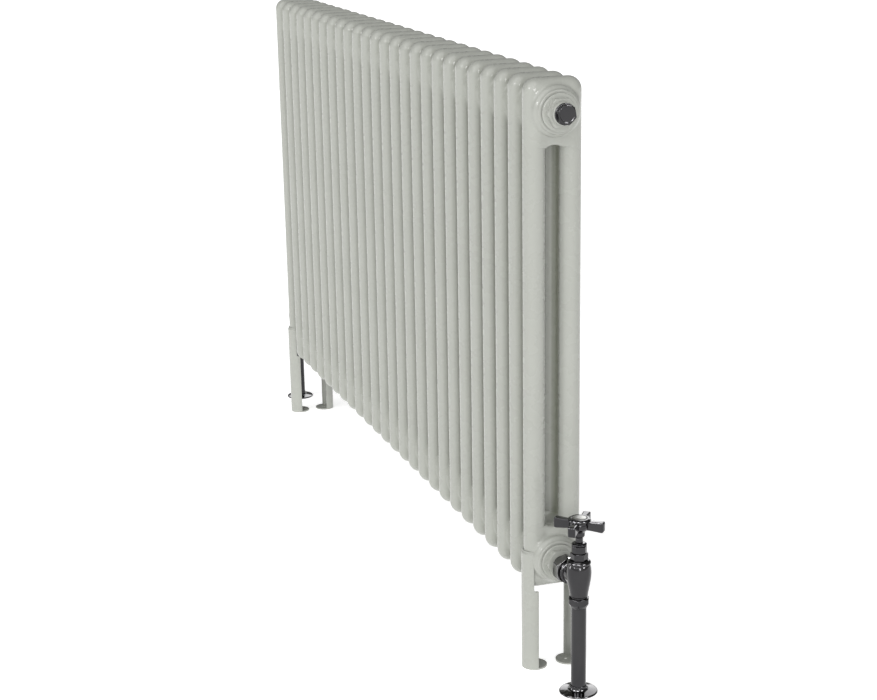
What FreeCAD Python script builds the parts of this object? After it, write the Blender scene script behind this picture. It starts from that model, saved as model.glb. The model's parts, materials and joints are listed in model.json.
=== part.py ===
import FreeCAD, Part
import math
import os

from FreeCAD import Vector

# Two-column tubular steel radiator on feet, with a valve at each end: a cross-head valve
# on the right (+X) and its matching lockshield valve, under a cap, on the left.
# Millimetres. X runs along the radiator, Y from its front (-Y) to the wall side (+Y),
# Z up. The origin is on the floor, midway between the two ends and the two columns.

# ---- driving dimensions -----------------------------------------------------------
SECTION_COUNT = 26
SECTION_PITCH = 45.0
SECTION_HEIGHT = 600.0
COLUMN_SPACING = 44.0
TUBE_RADIUS = 12.5
TUBE_WALL = 1.4
FLOOR_GAP = 103.5              # underside of the sections above the floor
HUB_INSET = 36.5               # hub axis from the top or the bottom of a section
VALVE_REACH = 85.2             # valve axis from the middle of the end section

CLEARANCE = 0.15               # between screwed parts, which are drawn without threads
RUNNING = 0.05                 # radial clearance of the turning spindle
MOVING_GAP = 0.3               # between parts that move apart

# ---- head: the pressed piece that joins the two tubes -------------------------------
HEAD_SKIRT = 41.0              # hub axis to the weld between head and tube
CORNER_RADIUS = 3.1            # centre line of the head at its outer corners
BOSS_RADIUS = 24.7
BOSS_RIM = 1.2                 # rounding of the boss's welded edge
BOSS_WALL = 2.4
FLARE_START = 18.5             # the boss is straight beyond this, then flares
FLARE_MID = (25.9, 12.4)       # radius and distance from the section's middle
FLARE_END = (30.4, 8.9)        # just under the surface that it blends into
WEB_HALF = 9.5
WEB_DROP = 40.0
WEB_EDGE = 5.0
THREAD_INSERT = 14.5           # depth of the tapped ring in the end sections

# ---- leg: a half tube round the outside of an end column, on a round foot -----------
LEG_RADIUS = 15.3
LEG_TOP = 150.5
LEG_BEVEL = 3.0
LEG_NOTCH_TOP = 101.0
LEG_NOTCH_DEPTH = 5.5
LEG_NOTCH_CORNER = 3.0
FOOT_THICKNESS = 2.0
FOOT_HOLE_RADIUS = 2.6
FOOT_HOLE_OFFSET = 3.0         # towards the middle of the radiator's depth

# ---- end bushes and plugs, measured outwards from the end section's boss face -------
TAPPING_RADIUS = 16.6          # 1 inch pipe thread
INNER_TAPPING_RADIUS = 10.5    # 1/2 inch pipe thread
GASKET = 1.0
BUSH_FLANGE_RADIUS = 21.5
BUSH_FLANGE_END = 4.0
BUSH_HEX_AF = 31.5
BUSH_HEX_TURN = 30.0           # puts two of its flats level
BUSH_HEX_END = 10.0
PLUG_COLLAR_RADIUS = 13.4
PLUG_COLLAR_END = 15.5
PLUG_FLANGE_RADIUS = 12.2
PLUG_FLANGE_END = 17.8
PLUG_HEX_AF = 20.6
PLUG_HEX_TURN = 12.0
PLUG_END = 22.8
BLEED_RADIUS = 3.0
BLEED_SQUARE = 5.0

# ---- valve: heights above the floor, radii about its upright axis -------------------
PIPE_RADIUS = 7.5
PIPE_WALL = 0.7
PIPE_TOP = 122.0
SLEEVE_RADIUS = 8.9
SLEEVE_TOP = 106.5
PLATE_RADIUS = 22.6
PLATE_NECK_TOP = 8.4
NUT_BOTTOM = 107.0
NUT_TAPER_END = 112.4          # the nut is full size above this
NUT_TOP = 119.0
NUT_AF = 23.0
NUT_CORNER_RADIUS = 12.6
NUT_TURN = 33.4
BODY_BOTTOM = 111.0
BODY_TOP = 165.5
INLET_STUB_RADIUS = 9.6        # the threaded end that the compression nut screws onto
BELLY_RADIUS = 14.4
BEAD_RADIUS = 13.8             # the rolled rim round the top of the body
SEAT_HEIGHT = 131.5
CHAMBER_RADIUS = 8.2
OUTLET_RADIUS = 6.2
BONNET_BOTTOM = 156.0
BONNET_HEX_TOP = 174.0
BONNET_TOP = 181.0
PACKING_TOP = 184.0
BONNET_AF = 18.4
BONNET_CORNER_RADIUS = 10.4
BONNET_TURN = 7.0
GLAND_TOP = 186.5
GLAND_RADIUS = 8.8
GLAND_AF = 16.6
GLAND_TURN = 20.0
SPINDLE_RADIUS = 3.5
SPINDLE_NECK_RADIUS = 4.35      # between the gland and the handle
SPINDLE_TOP = 208.0
HANDLE_BOTTOM = 192.0
HANDLE_RIM_RADIUS = 13.3
HANDLE_RIM_TOP = 216.4
DISC_RADIUS = 8.1
DISC_TOP = 217.3
ARM_REACH = 30.0
ARM_HEIGHT = 208.3             # middle of the arms
ARM_ANGLE = 49.0               # of the first arm from +X, seen from above
CAP_RADIUS = 13.0
CAP_WALL = 1.5
CAP_BOTTOM = 167.0
CAP_TOP = 203.0
LOCK_SPINDLE_TOP = 197.0
LOCK_SQUARE = 5.6              # across the flats of the lockshield spindle's end

# ---- worked out ---------------------------------------------------------------------
HALF_PITCH = SECTION_PITCH / 2
END_X = (SECTION_COUNT - 1) * HALF_PITCH
BOSS_FACE_X = END_X + HALF_PITCH
VALVE_X = END_X + VALVE_REACH
COLUMN_Y = COLUMN_SPACING / 2
LOWER_HUB_Z = FLOOR_GAP + HUB_INSET
UPPER_HUB_Z = FLOOR_GAP + SECTION_HEIGHT - HUB_INSET
SPIGOT_FACE = VALVE_REACH - HALF_PITCH   # boss face, measured from the valve's axis

X = Vector(1, 0, 0)
Y = Vector(0, 1, 0)
Z = Vector(0, 0, 1)
ORIGIN = Vector(0, 0, 0)


# ---- shared construction --------------------------------------------------------------
def cylinder(radius, low, high, x=0.0, y=0.0):
    """An upright cylinder between two heights."""
    return Part.makeCylinder(radius, high - low, Vector(x, y, low), Z)


def bar(radius, low, high, y=0.0, z=0.0):
    """A cylinder along X between two places."""
    return Part.makeCylinder(radius, high - low, Vector(low, y, z), X)


def box(low, high):
    """A box between two opposite corners."""
    size = [b - a for a, b in zip(low, high)]
    return Part.makeBox(*size, Vector(*low))


def fused(shapes):
    """One solid from overlapping shapes, joined one at a time."""
    whole = shapes[0]
    for shape in shapes[1:]:
        whole = whole.fuse(shape).removeSplitter()
    return whole


class Outline:
    """A closed outline of radius against height, to be turned about an upright axis."""

    def __init__(self, radius, height):
        self.start = Vector(radius, 0, height)
        self.here = self.start
        self.edges = []

    def line(self, radius, height):
        there = Vector(radius, 0, height)
        self.edges.append(Part.LineSegment(self.here, there).toShape())
        self.here = there
        return self

    def arc(self, mid, end):
        there = Vector(end[0], 0, end[1])
        middle = Vector(mid[0], 0, mid[1])
        self.edges.append(Part.Arc(self.here, middle, there).toShape())
        self.here = there
        return self

    def curve(self, *points):
        """A smooth curve through the points."""
        stops = [self.here] + [Vector(r, 0, h) for r, h in points]
        spline = Part.BSplineCurve()
        spline.interpolate(stops)
        self.edges.append(spline.toShape())
        self.here = stops[-1]
        return self

    def turned(self):
        self.line(self.start.x, self.start.z)
        face = Part.Face(Part.Wire(self.edges))
        return face.revolve(ORIGIN, Z, 360)


def laid_along_x(shape):
    """Turns an upright shape so that its height runs along +X."""
    return shape.rotated(ORIGIN, Y, 90)


def laid_to_radiator(shape):
    """Turns an upright shape so that its height runs along -X, at hub height."""
    return shape.rotated(ORIGIN, Y, -90).translated(Vector(0, 0, LOWER_HUB_Z))


def hexagon(across_flats, low, high, turn=0.0):
    """An upright hexagonal prism. With no turn two of its corners are on the X axis."""
    corner = across_flats / math.sqrt(3)
    angles = [math.radians(turn + 60 * k) for k in range(7)]
    points = [Vector(corner * math.cos(a), corner * math.sin(a), low) for a in angles]
    face = Part.Face(Part.makePolygon(points))
    return face.extrude(Vector(0, 0, high - low))


def nut_blank(across_flats, corner_radius, low, high, bevel, turn=0.0, both_ends=True):
    """A hexagon whose corners are turned down to a radius and bevelled at the ends."""
    foot = bevel if both_ends else 0.0
    limit = Outline(0, low).line(corner_radius - foot, low)
    if both_ends:
        limit.line(corner_radius, low + bevel * 0.6)
    limit.line(corner_radius, high - bevel * 0.6)
    limit.line(corner_radius - bevel, high)
    limit.line(0, high)
    return hexagon(across_flats, low, high, turn).common(limit.turned())


# ---- sections -------------------------------------------------------------------------
def head_corner(radius, side):
    """The turned corner between an upright leg of the head and its crossbar."""
    axis_y = COLUMN_Y - CORNER_RADIUS
    axis_z = HUB_INSET - TUBE_RADIUS - CORNER_RADIUS
    disc = Part.Face(Part.Wire(Part.makeCircle(radius, Vector(0, COLUMN_Y, axis_z), Z)))
    keep = box((-radius, axis_y, axis_z - 1), (radius, COLUMN_Y + radius, axis_z + 1))
    corner = disc.common(keep).Faces[0].revolve(Vector(0, axis_y, axis_z), X, 90)
    return corner if side > 0 else corner.mirror(ORIGIN, Y)


def head_loop(radius):
    """The round bar that runs up one column, across the top and down the other."""
    straight_top = HUB_INSET - TUBE_RADIUS - CORNER_RADIUS
    half_bar = COLUMN_Y - CORNER_RADIUS
    crossbar_z = HUB_INSET - TUBE_RADIUS
    pieces = [Part.makeCylinder(radius, 2 * half_bar, Vector(0, -half_bar, crossbar_z), Y)]
    for side in (-1, 1):
        pieces.append(cylinder(radius, -HEAD_SKIRT, straight_top, y=side * COLUMN_Y))
        pieces.append(head_corner(radius, side))
    return pieces


def head_boss():
    """The round hub that meets the next section, flared where it leaves the head."""
    rim = BOSS_RIM * (1 - math.sqrt(0.5))
    face = HALF_PITCH
    hub = Outline(0, -face).line(BOSS_RADIUS - BOSS_RIM, -face)
    hub.arc((BOSS_RADIUS - rim, rim - face), (BOSS_RADIUS, BOSS_RIM - face))
    hub.line(BOSS_RADIUS, -FLARE_START)
    hub.arc((FLARE_MID[0], -FLARE_MID[1]), (FLARE_END[0], -FLARE_END[1]))
    hub.line(*FLARE_END).arc(FLARE_MID, (BOSS_RADIUS, FLARE_START))
    hub.line(BOSS_RADIUS, face - BOSS_RIM)
    hub.arc((BOSS_RADIUS - rim, face - rim), (BOSS_RADIUS - BOSS_RIM, face))
    return laid_along_x(hub.line(0, face).turned())


def head_web(inset=0.0):
    """The flat of the head between its two upright legs."""
    half = WEB_HALF - inset
    low = (-half, -COLUMN_Y, inset - WEB_DROP)
    high = (half, COLUMN_Y, HUB_INSET - TUBE_RADIUS)
    web = box(low, high)
    lower = [e for e in web.Edges if e.BoundBox.ZMax < low[2] + 1 and e.BoundBox.YLength > 1]
    return web.makeFillet(WEB_EDGE - inset, lower)


def head(tapped):
    """A hollow head with its hub axis at the origin. A tapped one closes in at +X."""
    outer = fused(head_loop(TUBE_RADIUS) + [head_web(), head_boss()])
    bore_end = HALF_PITCH - THREAD_INSERT if tapped else HALF_PITCH
    waterway = head_loop(TUBE_RADIUS - TUBE_WALL) + [head_web(TUBE_WALL)]
    waterway.append(bar(BOSS_RADIUS - BOSS_WALL, -HALF_PITCH - 1, bore_end))
    waterway.append(bar(TAPPING_RADIUS, 0, HALF_PITCH + 1))
    return outer.cut(fused(waterway))


def tube(side):
    """One straight tube between the lower and the upper head."""
    low = LOWER_HUB_Z + HEAD_SKIRT
    high = UPPER_HUB_Z - HEAD_SKIRT
    outer = cylinder(TUBE_RADIUS, low, high, y=side * COLUMN_Y)
    return outer.cut(cylinder(TUBE_RADIUS - TUBE_WALL, low, high, y=side * COLUMN_Y))


def section(tapped=False):
    """Two tubes and their two heads, in the plane x = 0."""
    upper = head(tapped)
    lower = upper.rotated(ORIGIN, X, 180)
    upper = upper.translated(Vector(0, 0, UPPER_HUB_Z))
    lower = lower.translated(Vector(0, 0, LOWER_HUB_Z))
    return Part.makeCompound([tube(-1), tube(1), upper, lower])


def all_sections():
    """Every section by name, the two tapped ones at the ends."""
    plain = section()
    last = section(tapped=True)
    first = last.mirror(ORIGIN, X)
    named = {}
    for index in range(SECTION_COUNT):
        shape = {0: first, SECTION_COUNT - 1: last}.get(index, plain)
        place = Vector(index * SECTION_PITCH - END_X, 0, 0)
        named["section_%02d" % (index + 1)] = shape.translated(place)
    return named


# ---- legs -----------------------------------------------------------------------------
def leg_notch():
    """What is cut from the leg's upper flanges so that it clears the head's boss."""
    wide = LEG_RADIUS + 1
    low = (-wide, -LEG_NOTCH_DEPTH, LEG_NOTCH_TOP)
    notch = box(low, (wide, wide, LEG_TOP + 1))
    corner = [e for e in notch.Edges
              if e.BoundBox.XLength > wide and e.BoundBox.ZMax < LEG_NOTCH_TOP + 1
              and e.BoundBox.YMax < 0]
    return notch.makeFillet(LEG_NOTCH_CORNER, corner)


def leg():
    """The front leg of a section at x = 0: its half tube opens towards +Y."""
    inner = TUBE_RADIUS + 0.1
    wall = Outline(inner, FOOT_THICKNESS).line(LEG_RADIUS, FOOT_THICKNESS)
    wall.line(LEG_RADIUS, LEG_TOP - LEG_BEVEL)
    wall.line(inner + 0.4, LEG_TOP)
    wall.line(inner, LEG_TOP)
    wide = LEG_RADIUS + 1
    outside = box((-wide, -wide, 0), (wide, 0, LEG_TOP + 1))
    channel = wall.turned().common(outside).cut(leg_notch())
    foot = cylinder(LEG_RADIUS, 0, FOOT_THICKNESS)
    hole = cylinder(FOOT_HOLE_RADIUS, -1, FOOT_THICKNESS + 1, y=FOOT_HOLE_OFFSET)
    whole = fused([channel, foot]).cut(hole)
    return whole.translated(Vector(0, -COLUMN_Y, 0))


def all_legs():
    """Four legs, on the first and the last section."""
    front = leg()
    rear = front.mirror(ORIGIN, Y)
    named = {}
    for end, x in (("left", -END_X), ("right", END_X)):
        named["leg_front_" + end] = front.translated(Vector(x, 0, 0))
        named["leg_rear_" + end] = rear.translated(Vector(x, 0, 0))
    return named


# ---- bushes and plugs -------------------------------------------------------------------
def at_hub(shape, height):
    """Lays an upright shape outwards from the right-hand boss face at a hub."""
    return laid_along_x(shape).translated(Vector(BOSS_FACE_X, 0, height))


def mirrored(shape):
    """The same piece at the left-hand end."""
    return shape.mirror(ORIGIN, X)


def reducing_bush(collared):
    """A hexagonal bush in a tapping. The upper ones have a round collar for a plug."""
    thread = TAPPING_RADIUS - CLEARANCE
    body = Outline(0, 1 - THREAD_INSERT).line(thread - 1, 1 - THREAD_INSERT)
    body.line(thread, 2 - THREAD_INSERT).line(thread, GASKET)
    body.line(BUSH_FLANGE_RADIUS, GASKET)
    body.line(BUSH_FLANGE_RADIUS, BUSH_FLANGE_END - 1)
    body.arc((BUSH_FLANGE_RADIUS - 0.3, BUSH_FLANGE_END - 0.3),
             (BUSH_FLANGE_RADIUS - 1, BUSH_FLANGE_END))
    body.line(0, BUSH_FLANGE_END)
    corner = BUSH_HEX_AF / math.sqrt(3) - 0.4
    pieces = [body.turned()]
    pieces.append(nut_blank(BUSH_HEX_AF, corner, BUSH_FLANGE_END - 1, BUSH_HEX_END, 1.6,
                            turn=BUSH_HEX_TURN, both_ends=False))
    end = BUSH_HEX_END
    if collared:
        end = PLUG_COLLAR_END
        collar = Outline(0, BUSH_HEX_END - 1).line(PLUG_COLLAR_RADIUS, BUSH_HEX_END - 1)
        collar.line(PLUG_COLLAR_RADIUS, end - 0.8).line(PLUG_COLLAR_RADIUS - 0.8, end)
        pieces.append(collar.line(0, end).turned())
    bore = cylinder(INNER_TAPPING_RADIUS, -THREAD_INSERT, end + 1)
    return fused(pieces).cut(bore)


def all_bushes():
    """The four bushes and the flat seals behind and in front of them."""
    upper = at_hub(reducing_bush(True), UPPER_HUB_Z)
    lower = at_hub(reducing_bush(False), LOWER_HUB_Z)
    gasket = cylinder(BUSH_FLANGE_RADIUS - 1, 0, GASKET)
    gasket = gasket.cut(cylinder(TAPPING_RADIUS + CLEARANCE, -1, GASKET + 1))
    ring = cylinder(PLUG_FLANGE_RADIUS - 0.4, PLUG_COLLAR_END, PLUG_COLLAR_END + 0.8)
    ring = ring.cut(cylinder(INNER_TAPPING_RADIUS, 0, PLUG_END))
    seals = [at_hub(gasket, UPPER_HUB_Z), at_hub(gasket, LOWER_HUB_Z), at_hub(ring, UPPER_HUB_Z)]
    bushes = [upper, lower]
    return {
        "reducing_bushes": Part.makeCompound(bushes + [mirrored(b) for b in bushes]),
        "bush_seals": Part.makeCompound(seals + [mirrored(s) for s in seals]),
    }


def plug_blank():
    """A hexagon-headed plug with a round flange, laid out along +Z from the boss face."""
    thread = INNER_TAPPING_RADIUS - CLEARANCE
    flange_low = PLUG_COLLAR_END + 0.8
    body = Outline(0, 0).line(thread - 1, 0).line(thread, 1).line(thread, flange_low)
    body.line(PLUG_FLANGE_RADIUS, flange_low)
    body.line(PLUG_FLANGE_RADIUS, PLUG_FLANGE_END - 0.6)
    body.line(PLUG_FLANGE_RADIUS - 0.6, PLUG_FLANGE_END)
    body.line(0, PLUG_FLANGE_END)
    corner = PLUG_HEX_AF / math.sqrt(3) - 0.2
    hexed = nut_blank(PLUG_HEX_AF, corner, PLUG_FLANGE_END - 0.5, PLUG_END, 1.5,
                      turn=PLUG_HEX_TURN, both_ends=False)
    return fused([body.turned(), hexed])


def blanking_plug():
    """The plug at the right-hand end, hollowed from behind as a casting is."""
    dish = Outline(0, PLUG_END - 0.4).line(8.2, PLUG_END - 0.4).line(8.8, PLUG_END + 0.1)
    dish = dish.line(0, PLUG_END + 0.1).turned()
    hollow = cylinder(6.5, -1, PLUG_FLANGE_END - 3)
    return at_hub(plug_blank().cut(hollow).cut(dish), UPPER_HUB_Z)


def air_vent_plug():
    """The plug at the left-hand end: it holds the bleed screw and has a side vent."""
    body = plug_blank()
    body = body.cut(cylinder(2.0, -1, PLUG_FLANGE_END - 3))
    body = body.cut(cylinder(BLEED_RADIUS + RUNNING, PLUG_FLANGE_END - 9, PLUG_END + 1))
    vent = Part.makeCylinder(0.9, PLUG_HEX_AF, Vector(0, 0, PLUG_FLANGE_END + 2.0),
                             Vector(0, 1, 0))
    return mirrored(at_hub(body.cut(vent), UPPER_HUB_Z))


def bleed_screw():
    """The square-ended screw that a bleed key turns."""
    low = PLUG_FLANGE_END - 9 + MOVING_GAP
    shank = Outline(0, low).line(0.8, low).line(BLEED_RADIUS, low + 2.2)
    shank.line(BLEED_RADIUS, PLUG_END - 1.2).line(0, PLUG_END - 1.2)
    half = BLEED_SQUARE / 2
    square = box((-half, -half, PLUG_END - 2), (half, half, PLUG_END - 0.2))
    limit = cylinder(BLEED_RADIUS, low, PLUG_END)
    screw = fused([shank.turned(), square.common(limit)])
    return mirrored(at_hub(screw, UPPER_HUB_Z))


# ---- valve, drawn about its own upright axis with the radiator towards -X ---------------
def supply_pipe():
    """The copper tube from the floor to the stop inside the valve body."""
    outer = cylinder(PIPE_RADIUS, 0, PIPE_TOP)
    return outer.cut(cylinder(PIPE_RADIUS - PIPE_WALL, -1, PIPE_TOP + 1))


def pipe_sleeve():
    """The bright tube that covers the pipe between the floor and the valve."""
    outer = cylinder(SLEEVE_RADIUS, 0, SLEEVE_TOP)
    return outer.cut(cylinder(PIPE_RADIUS + MOVING_GAP, -1, SLEEVE_TOP + 1))


def floor_plate():
    """The round cover plate at the floor: a shallow dish with a flared neck."""
    bore = SLEEVE_RADIUS + RUNNING
    rim = PLATE_RADIUS
    plate = Outline(bore, 0).line(bore, PLATE_NECK_TOP).line(bore + 0.6, PLATE_NECK_TOP)
    plate.curve((bore + 0.9, 6.0), (bore + 1.9, 4.1), (bore + 4.2, 3.2))
    plate.line(rim - 1.2, 1.9)
    plate.arc((rim - 0.2, 1.2), (rim, 0.2))
    plate.line(rim, 0)
    return plate.turned()


def compression_nut():
    """The nut under the valve body that grips the pipe's olive."""
    blank = nut_blank(NUT_AF, NUT_CORNER_RADIUS, NUT_BOTTOM, NUT_TOP, 1.8, turn=NUT_TURN)
    taper = Outline(0, NUT_BOTTOM).line(SLEEVE_RADIUS + 0.6, NUT_BOTTOM)
    taper.line(NUT_CORNER_RADIUS, NUT_TAPER_END).line(NUT_CORNER_RADIUS, NUT_TOP)
    taper = taper.line(0, NUT_TOP).turned()
    pipe_hole = cylinder(PIPE_RADIUS + CLEARANCE, 0, NUT_TOP)
    socket = cylinder(INLET_STUB_RADIUS + CLEARANCE, NUT_BOTTOM + 3.0, NUT_TOP + 1)
    return blank.common(taper).cut(pipe_hole).cut(socket)


def olive():
    """The soft ring squeezed between the nut and the body."""
    low = NUT_BOTTOM + 3.2
    ring = Outline(PIPE_RADIUS + 0.02, low).line(PIPE_RADIUS + 0.5, low)
    return ring.line(8.9, low + 0.8).line(PIPE_RADIUS + 0.02, low + 0.8).turned()


def body_shell():
    """The outside of the valve body: a vase with a rolled rim, and its side spigot."""
    stub = INLET_STUB_RADIUS
    bead = BEAD_RADIUS
    vase = Outline(0, BODY_BOTTOM).line(stub, BODY_BOTTOM).line(stub, NUT_TOP + 1.5)
    vase.line(10.5, NUT_TOP + 2.5)
    vase.curve((12.4, 133), (BELLY_RADIUS, 147), (13.0, 159.2))
    vase.line(bead - 1.2, 160.0)
    vase.arc((bead, 162.0), (bead - 1.2, 164.2))
    vase.line(bead - 2.4, BODY_TOP).line(0, BODY_TOP)
    spigot = Outline(0, 0).line(11.0, 0).line(11.0, 22.5)
    spigot.arc((13.2, 24.6), (11.4, 26.9))
    spigot.line(11.4, 28.0).line(11.8, 28.6).line(11.8, 36.4).line(11.0, 37.2)
    spigot = spigot.line(0, 37.2).turned()
    return fused([vase.turned(), laid_to_radiator(spigot)])


def valve_body():
    """The body with its inlet, seat, chamber and outlet bored through."""
    inlet = cylinder(PIPE_RADIUS + CLEARANCE, BODY_BOTTOM - 1, PIPE_TOP)
    throat = cylinder(5.2, PIPE_TOP - 1, SEAT_HEIGHT + 1)
    chamber = cylinder(CHAMBER_RADIUS, SEAT_HEIGHT, BODY_TOP + 1)
    outlet = laid_to_radiator(cylinder(OUTLET_RADIUS, 0, 40))
    return body_shell().cut(fused([inlet, throat, chamber, outlet]))


def tailpiece():
    """The tube from the union to the radiator bush."""
    seat = SPIGOT_FACE - 25.3
    thread = INNER_TAPPING_RADIUS - CLEARANCE
    deep = SPIGOT_FACE + THREAD_INSERT - 3
    tail = Outline(OUTLET_RADIUS + 0.6, seat).line(12.4, seat).line(12.4, seat + 3.2)
    tail.line(thread, seat + 3.2).line(thread, deep - 1)
    tail.line(thread - 1, deep).line(OUTLET_RADIUS + 0.6, deep)
    return laid_to_radiator(tail.turned())


def union_nut():
    """The large nut that pulls the tailpiece against the body."""
    near = 28.8
    far = SPIGOT_FACE - 16.6
    hexed = nut_blank(30.0, 16.9, near, far - 3.4, 1.8)
    collar = Outline(0, far - 5).line(13.6, far - 5).line(13.6, far - 1.0)
    collar = collar.arc((13.3, far - 0.3), (12.6, far)).line(0, far).turned()
    hollow = cylinder(12.4 + CLEARANCE, near - 1, far - 5.2)
    passage = cylinder(INNER_TAPPING_RADIUS, near, far + 1)
    return laid_to_radiator(fused([hexed, collar]).cut(hollow).cut(passage))


def bonnet():
    """The hexagonal bonnet that closes the chamber and guides the spindle."""
    thread = CHAMBER_RADIUS - CLEARANCE
    pieces = [cylinder(thread, BONNET_BOTTOM, BODY_TOP + 1)]
    pieces.append(nut_blank(BONNET_AF, BONNET_CORNER_RADIUS, BODY_TOP, BONNET_HEX_TOP, 1.3,
                            turn=BONNET_TURN))
    pieces.append(cylinder(6.6, BONNET_HEX_TOP - 1, BONNET_TOP))
    guide = cylinder(4.95, BONNET_BOTTOM - 1, 168.5)
    bore = cylinder(SPINDLE_RADIUS + RUNNING, 160, 190)
    return fused(pieces).cut(guide).cut(bore)


def gland_nut():
    """The small nut that squeezes the packing round the spindle."""
    low = BONNET_HEX_TOP + 0.2
    groove = GLAND_TOP - 3.6
    blank = nut_blank(GLAND_AF, GLAND_RADIUS, low, groove, 0.9, turn=GLAND_TURN)
    crown = Outline(0, groove - 0.8).line(7.6, groove - 0.8).line(7.6, groove + 0.3)
    crown.line(GLAND_RADIUS, groove + 1.0).line(GLAND_RADIUS, GLAND_TOP - 1.6)
    crown.line(GLAND_RADIUS - 1.9, GLAND_TOP)
    crown = crown.line(0, GLAND_TOP).turned()
    hollow = cylinder(6.6 + CLEARANCE, low - 1, PACKING_TOP)
    hole = cylinder(SPINDLE_RADIUS + MOVING_GAP, 180, GLAND_TOP + 1)
    return fused([blank, crown]).cut(hollow).cut(hole)


def gland_packing():
    """The soft ring under the gland nut."""
    ring = cylinder(6.5, BONNET_TOP, PACKING_TOP)
    return ring.cut(cylinder(SPINDLE_RADIUS + RUNNING, 180, 190))


def spindle_shaft(neck_top):
    """The lower end of a spindle: driving thread, collar and shaft, as an open outline."""
    shaft = Outline(0, 142.0).line(2.4, 142.0).line(2.9, 142.6).line(2.9, 165.6)
    shaft.line(4.6, 165.6).line(4.6, 168.2).line(SPINDLE_RADIUS, 168.2)
    return shaft.line(SPINDLE_RADIUS, neck_top)


def spindle():
    """The cross-head valve's spindle, with a neck that shows and its end in the handle."""
    shaft = spindle_shaft(GLAND_TOP + MOVING_GAP)
    shaft.line(SPINDLE_NECK_RADIUS, GLAND_TOP + MOVING_GAP)
    shaft.line(SPINDLE_NECK_RADIUS, HANDLE_BOTTOM - CLEARANCE).line(3.9, HANDLE_BOTTOM - CLEARANCE)
    shaft.line(3.9, SPINDLE_TOP).line(0, SPINDLE_TOP)
    tapped = cylinder(2.0, SPINDLE_TOP - 9, SPINDLE_TOP + 1)
    return shaft.turned().cut(tapped)


def lockshield_spindle():
    """The lockshield valve's spindle: it ends in a square that takes a key."""
    shaft = spindle_shaft(LOCK_SPINDLE_TOP).line(0, LOCK_SPINDLE_TOP).turned()
    half = LOCK_SQUARE / 2
    beside = box((half, -10, GLAND_TOP + 2), (10, 10, LOCK_SPINDLE_TOP + 1))
    for quarter in range(4):
        shaft = shaft.cut(beside.rotated(ORIGIN, Z, 90 * quarter))
    return shaft


def lockshield_cap():
    """The plain bell that covers the lockshield spindle: it pulls off upwards."""
    inner = CAP_RADIUS - CAP_WALL
    bell = Outline(inner, CAP_BOTTOM).line(CAP_RADIUS - 0.5, CAP_BOTTOM)
    bell.line(CAP_RADIUS, CAP_BOTTOM + 0.6).line(CAP_RADIUS, CAP_BOTTOM + 5.0)
    bell.line(CAP_RADIUS - 0.7, CAP_BOTTOM + 6.2)
    bell.curve((CAP_RADIUS - 0.9, CAP_TOP - 18), (CAP_RADIUS - 1.6, CAP_TOP - 7))
    bell.arc((CAP_RADIUS - 3.4, CAP_TOP - 2.4), (CAP_RADIUS - 7.2, CAP_TOP - 0.3))
    bell.line(3.0, CAP_TOP).line(0, CAP_TOP).line(0, CAP_TOP - CAP_WALL)
    bell.line(inner - 3.4, CAP_TOP - CAP_WALL - 1.2).line(inner - 1.8, CAP_TOP - 7)
    bell.line(inner - 0.8, CAP_BOTTOM + 8)
    return bell.turned()


def valve_plug():
    """The disc and hollow stem that the spindle's thread raises off the seat."""
    low = SEAT_HEIGHT + MOVING_GAP + 2.2
    plug = Outline(0, low).line(6.9, low).line(6.9, low + 2.4).line(4.6, low + 3.4)
    plug.line(4.6, 151.0).line(0, 151.0)
    return plug.turned().cut(cylinder(2.9 + MOVING_GAP, low + 3.0, 152.0))


def valve_washer():
    """The rubber disc under the plug."""
    low = SEAT_HEIGHT + MOVING_GAP
    return cylinder(6.6, low, low + 2.2)


def arm_outline(reach, height, width):
    """A rectangle across an arm that points along +X, so far out from the axis."""
    corner = Vector(reach, -width / 2, ARM_HEIGHT - height / 2)
    return Part.makePlane(width, height, corner, X, Y).OuterWire


def handle_arm():
    """One paddle of the handle, wider and deeper towards its rounded tip."""
    stations = [(6.0, 11.2, 6.6), (14.0, 11.0, 6.9), (ARM_REACH, 12.8, 9.4)]
    arm = Part.makeLoft([arm_outline(*station) for station in stations], True, True)
    tip = [e for e in arm.Edges if e.BoundBox.XMin > ARM_REACH - 0.1]
    arm = arm.makeFillet(2.6, tip)
    rails = [e for e in arm.Edges if e.BoundBox.XLength > 5 and e.BoundBox.XMin > 5.5]
    return arm.makeFillet(1.5, rails) if rails else arm


def handle():
    """The cross handle: a hub with a raised rim, a waisted neck and four arms."""
    rim = HANDLE_RIM_RADIUS
    top = HANDLE_RIM_TOP
    hub = Outline(0, HANDLE_BOTTOM).line(4.6, HANDLE_BOTTOM).line(4.8, HANDLE_BOTTOM + 1)
    hub.line(6.4, HANDLE_BOTTOM + 2.6).line(6.6, HANDLE_BOTTOM + 7.4)
    hub.curve((8.4, 201.4), (11.0, 204.4), (11.8, 210.4)).line(11.8, top - 4.2)
    hub.arc((rim, top - 2.4), (rim - 0.9, top - 0.7))
    hub.line(rim - 2.2, top).line(DISC_RADIUS + 1.2, top).line(DISC_RADIUS + 0.2, top - 0.8)
    hub = hub.line(0, top - 0.8).turned()
    first = handle_arm()
    arms = [first.rotated(ORIGIN, Z, ARM_ANGLE + 90 * k) for k in range(4)]
    whole = fused([hub] + arms)
    recess = cylinder(DISC_RADIUS + 0.15, DISC_TOP - 2.2, top + 1)
    screw_seat = cylinder(4.2, 211.6, top)
    screw_hole = cylinder(2.1, 200, top)
    socket = cylinder(3.9 + CLEARANCE, HANDLE_BOTTOM - 1, SPINDLE_TOP + 0.2)
    return whole.cut(fused([recess, screw_seat, screw_hole, socket]))


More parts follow.
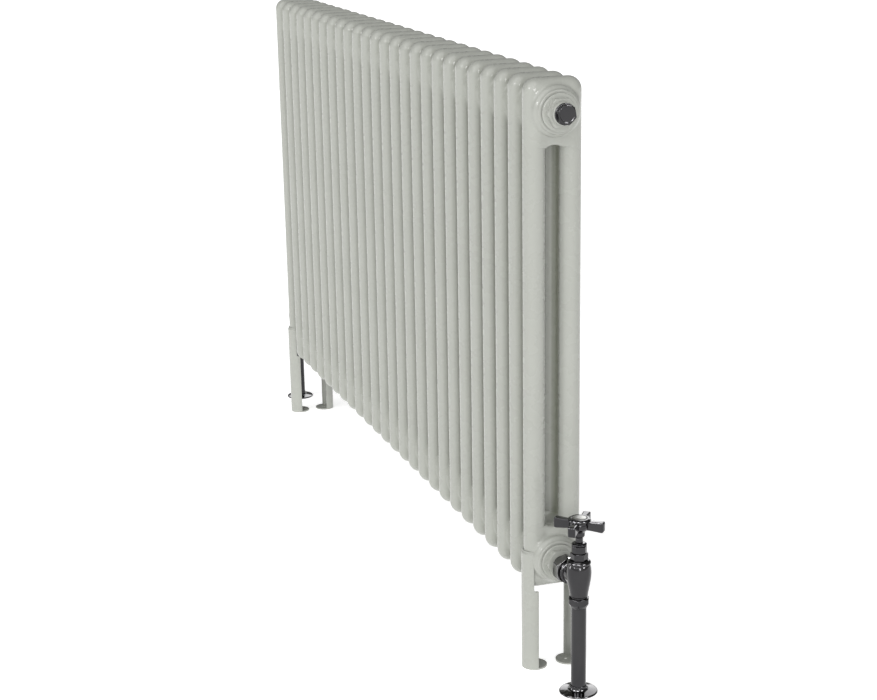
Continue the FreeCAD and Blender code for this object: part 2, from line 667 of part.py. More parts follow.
def handle_screw():
    """The slotted screw that holds the handle on the spindle, under the disc."""
    screw = Outline(0, SPINDLE_TOP - 8).line(1.9, SPINDLE_TOP - 8).line(1.9, 211.6)
    screw.line(3.8, 211.6).line(3.8, 213.4).line(3.2, 214.2).line(0, 214.2)
    slot = box((-5, -0.5, 213.2), (5, 0.5, 215))
    return screw.turned().cut(slot)


def index_disc():
    """The pale disc let into the top of the handle, slightly domed."""
    low = DISC_TOP - 2.2
    disc = Outline(0, low).line(DISC_RADIUS, low).line(DISC_RADIUS, DISC_TOP - 0.7)
    disc.arc((5.6, DISC_TOP - 0.2), (3.0, DISC_TOP))
    return disc.line(0, DISC_TOP).turned()


def at_right(make):
    """A valve piece at the right-hand end."""
    return make().translated(Vector(VALVE_X, 0, 0))


def at_left(make):
    """A valve piece at the left-hand end, as a mirror image."""
    return mirrored(at_right(make))


def all_valve_parts():
    """The pieces of both valves: those that move by side, the small fixed ones in pairs."""
    on_the_right = {
        "valve_handle": handle, "valve_spindle": spindle, "index_disc": index_disc,
        "handle_screw": handle_screw,
    }
    on_the_left = {"lockshield_cap": lockshield_cap, "lockshield_spindle": lockshield_spindle}
    by_side = {
        "valve_body": valve_body, "floor_plate": floor_plate, "valve_plug": valve_plug,
        "valve_washer": valve_washer,
    }
    in_pairs = {
        "supply_pipes": supply_pipe, "pipe_sleeves": pipe_sleeve, "olives": olive,
        "compression_nuts": compression_nut, "union_tailpieces": tailpiece,
        "union_nuts": union_nut, "bonnets": bonnet, "gland_nuts": gland_nut,
        "gland_packings": gland_packing,
    }
    named = {name: at_right(make) for name, make in on_the_right.items()}
    named.update({name: at_left(make) for name, make in on_the_left.items()})
    for name, make in by_side.items():
        named[name + "_left"] = at_left(make)
        named[name + "_right"] = at_right(make)
    for name, make in in_pairs.items():
        named[name] = Part.makeCompound([at_left(make), at_right(make)])
    return named


def plugs():
    return {
        "blanking_plug": blanking_plug(),
        "air_vent_plug": air_vent_plug(),
        "bleed_screw": bleed_screw(),
    }


def main():
    os.makedirs("parts", exist_ok=True)
    nodes = {}
    for group in (all_sections(), all_legs(), all_bushes(), plugs(), all_valve_parts()):
        nodes.update(group)
    for name, shape in nodes.items():
        shape.exportStep("parts/" + name + ".step")
        print(name, len(shape.Solids), shape.isValid(), round(shape.Volume / 1000, 2), "cm3")
    print(len(nodes), "nodes")


main()
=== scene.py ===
import json
import math

import bpy
import numpy as np
from mathutils import Euler, Matrix, Vector

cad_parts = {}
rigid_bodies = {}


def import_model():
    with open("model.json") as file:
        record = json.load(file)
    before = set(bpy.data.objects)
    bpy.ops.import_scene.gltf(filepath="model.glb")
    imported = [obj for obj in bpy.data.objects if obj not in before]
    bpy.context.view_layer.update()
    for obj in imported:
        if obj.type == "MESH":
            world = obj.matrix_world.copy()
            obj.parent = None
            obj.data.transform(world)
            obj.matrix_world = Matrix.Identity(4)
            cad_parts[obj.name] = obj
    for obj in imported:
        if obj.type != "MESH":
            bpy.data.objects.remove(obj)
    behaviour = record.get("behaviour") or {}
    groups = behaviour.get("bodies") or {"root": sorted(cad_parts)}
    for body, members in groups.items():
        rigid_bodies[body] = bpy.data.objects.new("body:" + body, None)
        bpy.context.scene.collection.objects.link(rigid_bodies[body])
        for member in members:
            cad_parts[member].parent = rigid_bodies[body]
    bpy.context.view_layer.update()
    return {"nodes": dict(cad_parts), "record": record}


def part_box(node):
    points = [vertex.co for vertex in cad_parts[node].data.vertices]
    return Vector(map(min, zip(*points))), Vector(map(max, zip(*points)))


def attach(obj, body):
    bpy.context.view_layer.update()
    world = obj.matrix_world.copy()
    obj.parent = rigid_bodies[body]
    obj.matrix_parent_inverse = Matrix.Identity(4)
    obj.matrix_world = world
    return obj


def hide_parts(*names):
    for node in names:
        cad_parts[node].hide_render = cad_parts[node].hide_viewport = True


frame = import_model()
NODES = frame["nodes"]
MM = 0.001

# ---- sizes that the frame gives ---------------------------------------------------------
SECTION_NAMES = sorted(name for name in NODES if name.startswith("section_"))
SECTION_LOW, SECTION_HIGH = (Vector(corner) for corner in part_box(SECTION_NAMES[0]))
SECTION_WIDTH = SECTION_HIGH.x - SECTION_LOW.x

# ---- tubes ------------------------------------------------------------------------------
TUBE_RADIUS = 12.5 * MM
TUBE_WALL = 1.4 * MM
COLUMN_Y = (SECTION_HIGH.y - SECTION_LOW.y) / 2 - TUBE_RADIUS
TUBE_LAP = 2.4 * MM                # the tube reaches this far over the head's skirt,
TUBE_PROUD = 0.02 * MM             # and lies this far outside it
TUBE_EDGE = 0.04 * MM              # a narrow band at each end keeps the shading even between them
FLATS_AROUND = 72                  # round a tube or a boss weld

# ---- the head, measured from its hub axis and the section's middle plane ----------------
HUB_INSET = 36.5 * MM              # hub axis to the top of the section
LOWER_HUB_Z = SECTION_LOW.z + HUB_INSET
UPPER_HUB_Z = SECTION_HIGH.z - HUB_INSET
CORNER_RADIUS = 3.1 * MM           # centre line of the head at its outer corners
HEAD_SKIRT = 41.0 * MM             # hub axis to the end of the head, over its tubes
BOSS_RADIUS = 24.7 * MM
BOSS_RIM = 1.2 * MM                # rounding of the boss's end
BOSS_BLEND = 5.0 * MM              # how widely the boss flares into the head
SHOULDER_RADIUS = 28.6 * MM        # the step round the foot of the boss
SHOULDER_BELOW = 5.0 * MM          # the boss's end to that step
SHOULDER_ROUND = 3.0 * MM
SHOULDER_BLEND = 4.0 * MM
WEB_HALF = 9.0 * MM                # half the thickness of the web between the tubes
WEB_LOW = -38.3 * MM               # the web's lower edge, midway between the tubes
WEB_ARCH = 28.0                    # how fast that edge drops towards the tubes, 1/m
WEB_ROUND = 3.0 * MM
WEB_BLEND = 5.0 * MM

# ---- the grid that the head's mesh is made on -------------------------------------------
HEAD_GRID = 1.8 * MM
RIM_GRID = 0.45 * MM               # closer lines over the rounded end of the boss,
RIM_LINES = 7
RIM_DEPTH = 2.5 * MM               # which start this far before it
OUT_OF_REACH = 1.0                 # metres, farther than anything in the head

# ---- painted shade where a section faces its neighbour ----------------------------------
SIDE_SHADE = 0.15                  # over the sides of the tubes and heads
INNER_SHADE = 0.85                 # over the sides of the tubes, between the front and rear ones
SIDE_START = 0.7                   # from this far out, in tube radii,
SIDE_RAMP = 0.25                   # the shade grows over this much
INNER_RAMP = 0.4                   # the inner shade grows over this much, about the tube's axis,
HEAD_RAMP = 6.0 * MM               # and fades over this much up the head

# ---- welds ------------------------------------------------------------------------------
BEAD_OUTLINE = ((-1, -3), (0.2, -2.2), (1, 0), (0.2, 2.2), (-1, 3))  # out and up, in bead heights
BOSS_WELD_BEAD = 0.35 * MM
BOSS_WELD_INSET = 0.75 * MM        # the boss's face to the middle of the bead
LEG_WELD_BEAD = 1.2 * MM
LEG_WELD_OUT = 0.8 * MM            # the tube's face to the middle of the bead
LEG_WELD_BELOW = 0.5 * MM          # the leg's top edge to the middle of the bead
LEG_WELD_SWELL = 0.12              # how much the bead's thickness varies,
LEG_WELD_RIPPLES = 9               # and how often in a turn round the tube
LEG_WELD_SIDES = 8
LEG_WELD_STEPS = 40


# ---- mesh construction ------------------------------------------------------------------
def smooth_union(first, second, width):
    """The distance to two shapes together, blended where both are near."""
    share = np.clip(0.5 + 0.5 * (second - first) / width, 0.0, 1.0)
    return second + (first - second) * share - width * share * (1.0 - share)


def rounded_block(beyond, corner):
    """The distance to a block, from how far each of its faces is passed."""
    flat = np.stack(beyond) + corner
    outside = np.linalg.norm(np.maximum(flat, 0.0), axis=0) - corner
    return outside + np.minimum(flat.max(axis=0), 0.0)


def head_field(points):
    """Signed distance, near enough, to a head whose hub axis is the origin's X axis."""
    x = np.abs(points[..., 0])
    y = np.abs(points[..., 1])
    z = points[..., 2]
    turn_y = COLUMN_Y - CORNER_RADIUS
    bar_z = HUB_INSET - TUBE_RADIUS
    turn_z = bar_z - CORNER_RADIUS
    to_column = np.hypot(y - COLUMN_Y, np.maximum(z - turn_z, 0.0))
    to_bar = np.hypot(np.maximum(y - turn_y, 0.0), z - bar_z)
    to_turn = np.abs(np.hypot(y - turn_y, z - turn_z) - CORNER_RADIUS)
    to_turn = np.where((y > turn_y) & (z > turn_z), to_turn, OUT_OF_REACH)
    loop = np.hypot(x, np.minimum(np.minimum(to_column, to_bar), to_turn)) - TUBE_RADIUS

    web_foot = WEB_LOW - WEB_ARCH * y ** 2 - z
    web = rounded_block([x - WEB_HALF, y - COLUMN_Y, np.maximum(web_foot, z - bar_z)], WEB_ROUND)
    rho = np.hypot(y, z)
    half = SECTION_WIDTH / 2
    shoulder = rounded_block([rho - SHOULDER_RADIUS, x - half + SHOULDER_BELOW], SHOULDER_ROUND)
    boss = rounded_block([rho - BOSS_RADIUS, x - half], BOSS_RIM)

    whole = smooth_union(smooth_union(loop, web, WEB_BLEND), shoulder, SHOULDER_BLEND)
    whole = smooth_union(whole, boss, BOSS_BLEND)
    return np.maximum(whole, -HEAD_SKIRT - z)


def surface_net(field, axes):
    """The zero surface of a field on a grid, one point in each cell that it crosses."""
    grid = np.stack(np.meshgrid(*axes, indexing="ij"), axis=-1)
    inside = field(grid)
    cells = [len(axis) - 1 for axis in axes]
    total = np.zeros((*cells, 3))
    hits = np.zeros(cells)
    crossings = []
    for along in range(3):
        across, up = (along + 1) % 3, (along + 2) % 3
        near = [slice(None)] * 3
        far = [slice(None)] * 3
        near[along], far[along] = slice(0, -1), slice(1, None)
        first, second = inside[tuple(near)], inside[tuple(far)]
        crossed = (first < 0) != (second < 0)
        share = np.where(crossed, first / np.where(crossed, first - second, 1.0), 0.0)
        place = grid[tuple(near)] + share[..., None] * (grid[tuple(far)] - grid[tuple(near)])
        for side in (0, 1):
            for level in (0, 1):
                pick = [slice(None)] * 3
                pick[across] = slice(side, side + cells[across])
                pick[up] = slice(level, level + cells[up])
                weight = crossed[tuple(pick)].astype(float)
                total += place[tuple(pick)] * weight[..., None]
                hits += weight
        crossings.append((crossed, first < 0))
    used = hits > 0
    number = np.full(cells, -1)
    number[used] = np.arange(used.sum())
    points = total[used] / hits[used][:, None]
    faces = []
    for along in range(3):
        across, up = (along + 1) % 3, (along + 2) % 3
        crossed, outward = crossings[along]
        edges = np.argwhere(crossed)
        keep = (edges[:, across] > 0) & (edges[:, across] < cells[across])
        keep &= (edges[:, up] > 0) & (edges[:, up] < cells[up])
        edges = edges[keep]
        corners = []
        for side, level in ((-1, -1), (0, -1), (0, 0), (-1, 0)):
            cell = edges.copy()
            cell[:, across] += side
            cell[:, up] += level
            corners.append(number[tuple(cell.T)])
        quads = np.stack(corners, axis=1)
        flipped = ~outward[tuple(edges.T)]
        quads[flipped] = quads[flipped][:, ::-1]
        faces.append(quads)
    return points, np.concatenate(faces)


def pulled_to_surface(field, points, rounds=4, step=0.02 * MM, flattest=0.5):
    """Moves points along the field's slope until they lie on its zero surface."""
    points = points.copy()
    for _ in range(rounds):
        slope = np.zeros_like(points)
        for axis in range(3):
            shift = np.zeros(3)
            shift[axis] = step
            slope[:, axis] = (field(points + shift) - field(points - shift)) / (2 * step)
        steep = np.maximum((slope ** 2).sum(axis=1), flattest ** 2)
        move = np.clip(field(points) / steep, -HEAD_GRID / 2, HEAD_GRID / 2)
        points -= move[:, None] * slope
    return points


def joined_rings(count, rings, closed):
    """Quads between rings of count points each, and from the last ring to the first if closed."""
    faces = []
    for ring in range(rings if closed else rings - 1):
        here, there = ring * count, (ring + 1) % rings * count
        for step in range(count):
            following = (step + 1) % count
            faces.append((here + step, there + step, there + following, here + following))
    return faces


def lathe(outline):
    """A ring about Z from (radius, height) points; the outline closes on itself."""
    turns = [2 * math.pi * k / FLATS_AROUND for k in range(FLATS_AROUND)]
    points = [(r * math.cos(a), r * math.sin(a), h) for a in turns for r, h in outline]
    return np.array(points), np.array(joined_rings(len(outline), FLATS_AROUND, closed=True))


def moved(part, place, turn=None):
    """A (points, faces) pair, turned and then moved."""
    points, faces = part
    if turn is not None:
        points = points @ np.array(turn.to_matrix()).T
    return points + np.array(place), faces


def together(parts):
    """One (points, faces) pair from several."""
    points, faces, base = [], [], 0
    for some_points, some_faces in parts:
        points.append(some_points)
        faces.extend((some_faces + base).tolist())
        base += len(some_points)
    return np.concatenate(points), faces


def mesh_from(name, points, faces):
    """A smooth-shaded mesh."""
    mesh = bpy.data.meshes.new(name)
    mesh.from_pydata(points.tolist(), [], faces)
    mesh.polygons.foreach_set("use_smooth", [True] * len(mesh.polygons))
    mesh.validate()
    mesh.update()
    return mesh


def new_object(name, data):
    """An object with this data, in the scene."""
    made = bpy.data.objects.new(name, data)
    bpy.context.scene.collection.objects.link(made)
    return made


def new_piece(name, mesh, body, slot, place=(0.0, 0.0, 0.0), turn=0.0):
    """A piece of the radiator that stands at a place, turned about its upright axis."""
    piece = new_object(name, mesh)
    piece.location = place
    piece.rotation_euler.z = turn
    if not mesh.materials:
        mesh.materials.append(MATERIALS[slot])
    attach(piece, body)
    return piece


# ---- materials --------------------------------------------------------------------------
NOISE_SPREAD = (0.3, 0.7)          # nearly all of a noise lies in this range
PAINT_DARK, PAINT_LIGHT = (0.333, 0.341, 0.311), (0.347, 0.355, 0.325)
# the dark olive of the painted shade between sections
PAINTED_SHADE_COLOUR = (0.12, 0.132, 0.078)


class Nodes:
    """A material's node tree, with short calls for the nodes that are used here."""

    def __init__(self, name):
        self.material = bpy.data.materials.new(name)
        self.material.use_nodes = True
        self.tree = self.material.node_tree
        self.shader = next(n for n in self.tree.nodes if n.type == "BSDF_PRINCIPLED")
        self.place = self.add("ShaderNodeTexCoord").outputs["Object"]

    def add(self, kind, **settings):
        node = self.tree.nodes.new(kind)
        for name, value in settings.items():
            setattr(node, name, value)
        return node

    def link(self, source, target):
        self.tree.links.new(source, target)

    def noise(self, scale, detail=3.0, stretch=(1.0, 1.0, 1.0)):
        mapping = self.add("ShaderNodeMapping")
        mapping.inputs["Scale"].default_value = stretch
        self.link(self.place, mapping.inputs["Vector"])
        node = self.add("ShaderNodeTexNoise")
        node.inputs["Scale"].default_value = scale
        node.inputs["Detail"].default_value = detail
        self.link(mapping.outputs["Vector"], node.inputs["Vector"])
        return node.outputs["Fac"]

    def remap(self, value, given, wanted=(0.0, 1.0)):
        """The value, with its given range stretched to the wanted one."""
        node = self.add("ShaderNodeMapRange")
        for socket, number in zip(("From Min", "From Max", "To Min", "To Max"), (*given, *wanted)):
            node.inputs[socket].default_value = number
        self.link(value, node.inputs["Value"])
        return node.outputs["Result"]

    def mix(self, factor, first, second):
        node = self.add("ShaderNodeMix", data_type="RGBA")
        colours = [socket for socket in node.inputs if socket.type == "RGBA"]
        self.link(factor, node.inputs["Factor"])
        for colour, socket in zip((first, second), colours):
            if isinstance(colour, tuple):
                socket.default_value = (*colour, 1.0)
            else:
                self.link(colour, socket)
        return next(socket for socket in node.outputs if socket.type == "RGBA")

    def bump(self, height, distance, strength=0.5, under=None):
        node = self.add("ShaderNodeBump")
        node.inputs["Distance"].default_value = distance
        node.inputs["Strength"].default_value = strength
        self.link(height, node.inputs["Height"])
        if under is not None:
            self.link(under, node.inputs["Normal"])
        return node.outputs["Normal"]

    def rounded_edges(self, radius):
        node = self.add("ShaderNodeBevel", samples=4)
        node.inputs["Radius"].default_value = radius
        return node.outputs["Normal"]

    def constant(self, **values):
        """Sets the shader's own sockets, named with _ for a space."""
        for name, value in values.items():
            self.shader.inputs[name.replace("_", " ")].default_value = value

    def finish(self, colour, roughness, normal=None):
        self.link(colour, self.shader.inputs["Base Color"])
        self.link(roughness, self.shader.inputs["Roughness"])
        if normal is not None:
            self.link(normal, self.shader.inputs["Normal"])
        return self.material


def radiator_paint(name, softened):
    """Pale grey-green powder coat: gloss, a fine orange peel, painted shade where sections face each
    other.
    """
    nodes = Nodes(name)
    nodes.constant(Coat_Weight=0.45, Coat_Roughness=0.04, Specular_IOR_Level=0.2)
    drift = nodes.remap(nodes.noise(scale=9.0), (0.35, 0.65))
    face = nodes.mix(drift, PAINT_DARK, PAINT_LIGHT)
    # Painted shade: a dark olive mixed in where the mesh's shade attribute marks a side that faces a
    # neighbour.
    painted_shade = nodes.add("ShaderNodeAttribute", attribute_name="painted_shade").outputs["Fac"]
    colour = nodes.mix(painted_shade, face, PAINTED_SHADE_COLOUR)
    roughness = nodes.remap(nodes.noise(scale=60.0, detail=4.0), NOISE_SPREAD, (0.24, 0.31))
    normal = nodes.rounded_edges(radius=1.1 * MM) if softened else None
    # The orange peel, then a finer grain.
    for scale, detail, distance in ((110.0, 1.0, 0.03 * MM), (700.0, 2.0, 0.008 * MM)):
        normal = nodes.bump(nodes.noise(scale, detail), distance, under=normal)
    return nodes.finish(colour, roughness, normal)


def nickel(name, dark, light):
    """Polished nickel plate with softened edges and faint smears."""
    nodes = Nodes(name)
    nodes.constant(Metallic=1.0)
    smears = nodes.noise(scale=45.0, detail=5.0, stretch=(1.0, 1.0, 0.35))
    colour = nodes.mix(nodes.remap(smears, NOISE_SPREAD), dark, light)
    roughness = nodes.remap(smears, (0.3, 0.75), (0.07, 0.15))
    ripple = nodes.noise(scale=260.0, detail=2.0)
    edges = nodes.rounded_edges(radius=0.6 * MM)
    return nodes.finish(colour, roughness, nodes.bump(ripple, 0.01 * MM, strength=0.4, under=edges))


def turned_metal(name, dark, light, shiny, dull):
    """Bare machined metal with fine turning lines about the upright axis."""
    nodes = Nodes(name)
    nodes.constant(Metallic=1.0)
    lines = nodes.noise(scale=900.0, detail=2.0, stretch=(0.05, 0.05, 1.0))
    polish = nodes.remap(nodes.noise(scale=70.0, detail=4.0), NOISE_SPREAD)
    colour = nodes.mix(polish, dark, light)
    roughness = nodes.remap(polish, (0.0, 1.0), (dull, shiny))
    return nodes.finish(colour, roughness, nodes.bump(lines, 0.02 * MM))


def matt_stuff(name, dark, light, roughness, grain):
    """Rubber or packing: matt, with a fine grain."""
    nodes = Nodes(name)
    fleck = nodes.noise(scale=grain, detail=4.0)
    colour = nodes.mix(nodes.remap(fleck, NOISE_SPREAD), dark, light)
    rough = nodes.remap(fleck, NOISE_SPREAD, roughness)
    return nodes.finish(colour, rough, nodes.bump(fleck, 0.05 * MM))


RECIPES = {
    "radiator_paint": (radiator_paint, dict(softened=True)),
    "black_nickel": (nickel, dict(dark=(0.046, 0.046, 0.048), light=(0.057, 0.056, 0.058))),
    # a paler copy of black nickel: a painted sheen for the union nuts and tailpieces
    "worn_nickel": (nickel, dict(dark=(0.17, 0.17, 0.172), light=(0.23, 0.228, 0.23))),
    "index_metal": (turned_metal, dict(
        dark=(0.2, 0.2, 0.195), light=(0.25, 0.25, 0.24), shiny=0.3, dull=0.4)),
    "brass": (turned_metal, dict(
        dark=(0.55, 0.38, 0.14), light=(0.7, 0.5, 0.22), shiny=0.22, dull=0.38)),
    "copper": (turned_metal, dict(
        dark=(0.55, 0.25, 0.14), light=(0.75, 0.4, 0.26), shiny=0.2, dull=0.4)),
    "zinc_steel": (turned_metal, dict(
        dark=(0.42, 0.43, 0.45), light=(0.6, 0.61, 0.63), shiny=0.25, dull=0.4)),
    "seal_rubber": (matt_stuff, dict(
        dark=(0.012, 0.012, 0.012), light=(0.03, 0.03, 0.03), roughness=(0.64, 0.76), grain=300)),
    "packing": (matt_stuff, dict(
        dark=(0.7, 0.7, 0.68), light=(0.82, 0.82, 0.8), roughness=(0.44, 0.56), grain=500)),
    "radiator_paint_smooth": (radiator_paint, dict(softened=False)),
}
MATERIALS = {name: make(name, **settings) for name, (make, settings) in RECIPES.items()}
# These nodes get a paler copy of their slot's nickel: a painted sheen that stands in for their
# brighter reflections.
PALER = {"union_nuts": "worn_nickel", "union_tailpieces": "worn_nickel"}
PAINTS = ("radiator_paint", "radiator_paint_smooth")
METALS = ("black_nickel", "worn_nickel", "index_metal", "zinc_steel", "brass", "copper")


def finish_nodes():
    """Gives each of the frame's nodes the material of its slot."""
    for part in frame["record"]["subparts"]:
        slots = NODES[part["node"]].data.materials
        slots.clear()
        # the nodes listed in PALER get the paler nickel with its painted sheen
        slots.append(MATERIALS[PALER.get(part["node"], part["material_slot"])])


# ---- sections ---------------------------------------------------------------------------
def head_grid():
    """Grid lines for a head: even, but close together near the ends of its boss."""
    inner = SECTION_WIDTH / 2 - RIM_DEPTH
    middle = np.linspace(-inner, inner, 2 * round(inner / HEAD_GRID) + 1)
    rim = np.arange(1, RIM_LINES + 1) * RIM_GRID
    xs = np.concatenate([-inner - rim[::-1], middle, inner + rim])
    reach = COLUMN_Y + TUBE_RADIUS + HEAD_GRID
    ys = np.linspace(-reach, reach, 2 * round(reach / HEAD_GRID) + 1)
    low, high = -HEAD_SKIRT - HEAD_GRID, HUB_INSET + HEAD_GRID
    zs = np.linspace(low, high, round((high - low) / HEAD_GRID) + 1)
    return xs, ys, zs


def section_mesh():
    """Two tubes between two blended heads, about the section's middle plane."""
    points, faces = surface_net(head_field, head_grid())
    points = pulled_to_surface(head_field, points)
    upside_down = points * np.array((1.0, 1.0, -1.0))
    parts = [moved((points, faces), (0.0, 0.0, UPPER_HUB_Z)),
             moved((upside_down, faces[:, ::-1]), (0.0, 0.0, LOWER_HUB_Z))]
    low, high = LOWER_HUB_Z + HEAD_SKIRT - TUBE_LAP, UPPER_HUB_Z - HEAD_SKIRT + TUBE_LAP
    inner, outer = TUBE_RADIUS - TUBE_WALL, TUBE_RADIUS + TUBE_PROUD
    tube = lathe([(inner, low), (outer, low), (outer, low + TUBE_EDGE),
                  (outer, high - TUBE_EDGE), (outer, high), (inner, high)])
    for side in (-1, 1):
        parts.append(moved(tube, (0.0, side * COLUMN_Y, 0.0)))
    mesh = mesh_from("section", *together(parts))
    mesh.materials.append(MATERIALS["radiator_paint_smooth"])
    return mesh


def shade_sides(mesh, open_side):
    """Paints shade as a point attribute where a section faces a neighbour, most of all between the
    tubes.

    open_side is the side of an end section that has no neighbour, or 0.
    """
    points = np.empty(3 * len(mesh.vertices))
    mesh.vertices.foreach_get("co", points)
    x, y, z = points.reshape(-1, 3).T
    inward = np.clip((COLUMN_Y - np.abs(y)) / TUBE_RADIUS / INNER_RAMP + 0.5, 0.0, 1.0)
    middle = (LOWER_HUB_Z + UPPER_HUB_Z) / 2
    below_head = UPPER_HUB_Z - HEAD_SKIRT - middle - np.abs(z - middle)
    inward *= np.clip(below_head / HEAD_RAMP + 1.0, 0.0, 1.0)
    shaded = np.clip((np.abs(x) / TUBE_RADIUS - SIDE_START) / SIDE_RAMP, 0.0, 1.0)
    shaded *= SIDE_SHADE + (INNER_SHADE - SIDE_SHADE) * inward
    shaded[x * open_side > 0] = 0.0
    # stored for the paint to darken by, as painted shade
    mesh.attributes.new("painted_shade", "FLOAT", "POINT").data.foreach_set("value", shaded)


def make_sections():
    inner = section_mesh()
    left, right = inner.copy(), inner.copy()
    shade_sides(inner, 0)
    shade_sides(left, -1)
    shade_sides(right, 1)
    meshes = [left] + [inner] * (len(SECTION_NAMES) - 2) + [right]
    for name, mesh in zip(SECTION_NAMES, meshes):
        low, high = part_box(name)
        piece = new_piece(name + "_shell", mesh, "radiator", "radiator_paint",
                          ((low[0] + high[0]) / 2, 0.0, 0.0))
        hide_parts(name)


# ---- welds ------------------------------------------------------------------------------
def make_boss_welds():
    """The seams where neighbouring sections' bosses are welded together."""
    radius, bead = BOSS_RADIUS - BOSS_WELD_INSET, BOSS_WELD_BEAD
    ring = lathe([(radius + out * bead, up * bead) for out, up in BEAD_OUTLINE])
    lay = Euler((0.0, math.pi / 2, 0.0))
    parts = []
    for name in SECTION_NAMES[1:]:
        seam_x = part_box(name)[0][0]
        for height in (LOWER_HUB_Z, UPPER_HUB_Z):
            parts.append(moved(ring, (seam_x, 0.0, height), lay))
    mesh = mesh_from("boss_welds", *together(parts))
    new_piece("boss_welds", mesh, "radiator", "radiator_paint")


def leg_weld_mesh():
    """The weld along the top edge of a front leg, a bead round the outside of its column."""
    radius = TUBE_RADIUS + LEG_WELD_OUT
    points = []
    for step in range(LEG_WELD_STEPS + 1):
        angle = math.pi + math.pi * step / LEG_WELD_STEPS
        swell = LEG_WELD_BEAD * (1 + LEG_WELD_SWELL * math.sin(LEG_WELD_RIPPLES * angle))
        for side in range(LEG_WELD_SIDES):
            lean = 2 * math.pi * side / LEG_WELD_SIDES
            reach, height = radius + swell * math.cos(lean), swell * math.sin(lean)
            points.append((reach * math.cos(angle), reach * math.sin(angle), height))
    faces = joined_rings(LEG_WELD_SIDES, LEG_WELD_STEPS + 1, closed=False)
    faces.append(tuple(range(LEG_WELD_SIDES)))
    faces.append(tuple(reversed(range(len(points) - LEG_WELD_SIDES, len(points)))))
    return mesh_from("leg_weld", np.array(points), faces)


def make_leg_welds():
    mesh = leg_weld_mesh()
    for end in ("left", "right"):
        for row, side, turn in (("front", -1, 0.0), ("rear", 1, math.pi)):
            low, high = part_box(f"leg_{row}_{end}")
            place = ((low[0] + high[0]) / 2, side * COLUMN_Y, high[2] - LEG_WELD_BELOW)
            new_piece(f"leg_weld_{row}_{end}", mesh, "radiator", "radiator_paint", place, turn)


# ---- view -------------------------------------------------------------------------------
# A portrait lens standing off the plugged end, looking down along the row of sections.
SENSOR, LENS = 36.0, 76.305                # mm
SHIFT_X, SHIFT_Y = -0.03778, 0.09434       # of the picture's width
CAMERA_PLACE = Vector((2.47718, -0.76950, 0.95767))
CAMERA_HEADING = 160.69                    # degrees from +X
CAMERA_PITCH = -17.86                      # degrees from the horizon
CAMERA_ROLL = -0.72                        # degrees
CAMERA_REACH = (0.05, 60.0)                # metres, the nearest and the farthest that it sees


def direction(azimuth, elevation):
    """The way that so many degrees from +X, and above the horizon, point."""
    turn, lift = math.radians(azimuth), math.radians(elevation)
    flat = math.cos(lift)
    return Vector((math.cos(turn) * flat, math.sin(turn) * flat, math.sin(lift)))


def make_camera():
    ahead = direction(CAMERA_HEADING, CAMERA_PITCH)
    right = ahead.cross(Vector((0, 0, 1))).normalized()
    up = right.cross(ahead)
    roll = math.radians(CAMERA_ROLL)
    rolled_right = math.cos(roll) * right + math.sin(roll) * up
    rolled_up = math.cos(roll) * up - math.sin(roll) * right
    data = bpy.data.cameras.new("camera")
    data.sensor_width, data.lens = SENSOR, LENS
    data.shift_x, data.shift_y = SHIFT_X, SHIFT_Y
    data.clip_start, data.clip_end = CAMERA_REACH
    camera = new_object("camera", data)
    turn = Matrix((rolled_right, rolled_up, -ahead)).transposed()
    camera.matrix_world = Matrix.Translation(CAMERA_PLACE) @ turn.to_4x4()
    bpy.context.scene.camera = camera


# ---- stage ------------------------------------------------------------------------------
FLOOR_REACH = 40.0                         # metres from the origin to each edge
FLOOR_GLOW = 0.58                          # the floor is a lit table, so shadows on it stay faint
FLOOR_DROP = 0.4 * MM                      # it lies just under the plates
SKY_DIM, SKY_LIGHT = 0.2, 0.82             # the surround's strength, at its dim and its light end
SKY_DIM_WAY = (-0.72, 0.5, 0.48)           # the dim end is beyond the radiator and above it
SKY_RAMP = (-0.6, 0.7)                     # where it starts and ends dimming along that way
CARD_TARGET = Vector((0.6, 0.0, 0.2))      # the cards face the near end of the radiator


def make_floor():
    """A plain pale floor with a very faint mottle."""
    nodes = Nodes("floor")
    nodes.constant(Specular_IOR_Level=0.0, Emission_Color=(1, 1, 1, 1),
                   Emission_Strength=FLOOR_GLOW)
    mottle = nodes.remap(nodes.noise(scale=3.0), NOISE_SPREAD)
    colour = nodes.mix(mottle, (0.93, 0.93, 0.93), (0.95, 0.95, 0.95))
    nodes.finish(colour, nodes.remap(mottle, (0.0, 1.0), (0.9, 0.95)))
    nodes.material.cycles.emission_sampling = "NONE"
    mesh = bpy.data.meshes.new("floor")
    corners = [(x * FLOOR_REACH, y * FLOOR_REACH, 0) for x, y in ((-1, -1), (1, -1), (1, 1), (-1, 1))]
    mesh.from_pydata(corners, [], [(0, 1, 2, 3)])
    mesh.materials.append(nodes.material)
    floor = new_object("floor", mesh)
    floor.location.z = -FLOOR_DROP


def make_world():
    """A soft surround, dimmer beyond the radiator than on the camera's side."""
    world = bpy.data.worlds.new("studio")
    world.use_nodes = True
    tree = world.node_tree
    background = tree.nodes["Background"]
    background.inputs["Color"].default_value = (1, 1, 1, 1)
    place = tree.nodes.new("ShaderNodeTexCoord")
    along = tree.nodes.new("ShaderNodeVectorMath")
    along.operation = "DOT_PRODUCT"
    along.inputs[1].default_value = SKY_DIM_WAY
    ramp = tree.nodes.new("ShaderNodeMapRange")
    ramp.interpolation_type = "SMOOTHSTEP"
    ramp.inputs["From Min"].default_value, ramp.inputs["From Max"].default_value = SKY_RAMP
    ramp.inputs["To Min"].default_value = SKY_LIGHT
    ramp.inputs["To Max"].default_value = SKY_DIM
    tree.links.new(place.outputs["Generated"], along.inputs[0])
    tree.links.new(along.outputs["Value"], ramp.inputs["Value"])
    tree.links.new(ramp.outputs["Result"], background.inputs["Strength"])
    bpy.context.scene.world = world


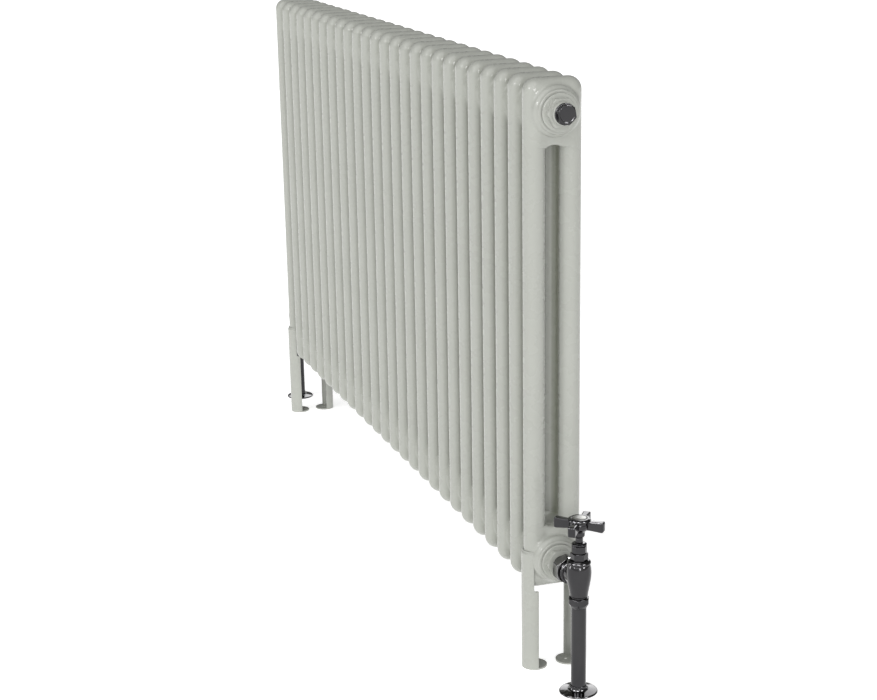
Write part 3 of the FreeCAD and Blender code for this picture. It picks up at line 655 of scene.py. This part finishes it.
def sunlight(name, azimuth, elevation, strength, spread):
    """An even light over the whole floor, as soft as a bank that is spread degrees across."""
    data = bpy.data.lights.new(name, "SUN")
    data.energy = strength
    data.angle = math.radians(spread)
    lamp = new_object(name, data)
    lamp.rotation_euler = direction(azimuth, elevation).to_track_quat("Z", "Y").to_euler()


def card(lit, name, azimuth, distance, height, size, radiance):
    """A bright card that shows only in the gloss of the objects in one collection."""
    turn = math.radians(azimuth)
    away = Vector((distance * math.cos(turn), distance * math.sin(turn), height))
    data = bpy.data.lights.new(name, "AREA")
    data.shape = "RECTANGLE"
    data.size, data.size_y = size
    data.energy = radiance * math.pi * size[0] * size[1]
    lamp = new_object(name, data)
    turned = away.to_track_quat("Z", "Y").to_matrix().to_4x4()
    lamp.matrix_world = Matrix.Translation(CARD_TARGET + away) @ turned
    lamp.visible_diffuse = False
    lamp.visible_camera = False
    lamp.light_linking.receiver_collection = lit


def finished_in(kind, finishes):
    """A collection of the frame's nodes and the pieces whose first material is one of these."""
    group = bpy.data.collections.new(kind)
    wanted = {MATERIALS[finish] for finish in finishes}
    for piece in bpy.context.scene.objects:
        if piece.type == "MESH" and piece.data.materials and piece.data.materials[0] in wanted:
            group.objects.link(piece)
    return group


def make_lights():
    sunlight("bank", azimuth=-50, elevation=44, strength=1.52, spread=70)
    sunlight("fill", azimuth=-12, elevation=12, strength=0.7, spread=16)
    painted = finished_in("painted", PAINTS)
    plated = finished_in("plated", METALS)
    # Each card's azimuth is in degrees from +X, and its size is width and height in metres.
    for lit, name, azimuth, distance, height, size, radiance in (
            (painted, "card_left", -72, 2.4, 1.5, (0.32, 0.32), 18.0),
            (painted, "card_right", 22, 2.4, 1.3, (0.3, 0.5), 14.0),
            (plated, "bank_left", -80, 2.4, 1.8, (1.1, 1.1), 34.0),
            (plated, "bank_middle", -32, 2.0, 2.2, (0.9, 0.9), 34.0),
            (plated, "bank_right", 30, 2.4, 1.6, (0.8, 1.2), 30.0),
            (plated, "bank_low", -118, 2.4, 0.35, (0.4, 1.4), 14.0),
            (plated, "bank_far", 158, 2.4, 1.1, (2.6, 1.5), 4.2)):
        card(lit, name, azimuth, distance, height, size, radiance)


finish_nodes()
make_sections()
make_boss_welds()
make_leg_welds()
make_camera()
make_floor()
make_world()
make_lights()
bpy.context.scene.view_settings.view_transform = "Standard"
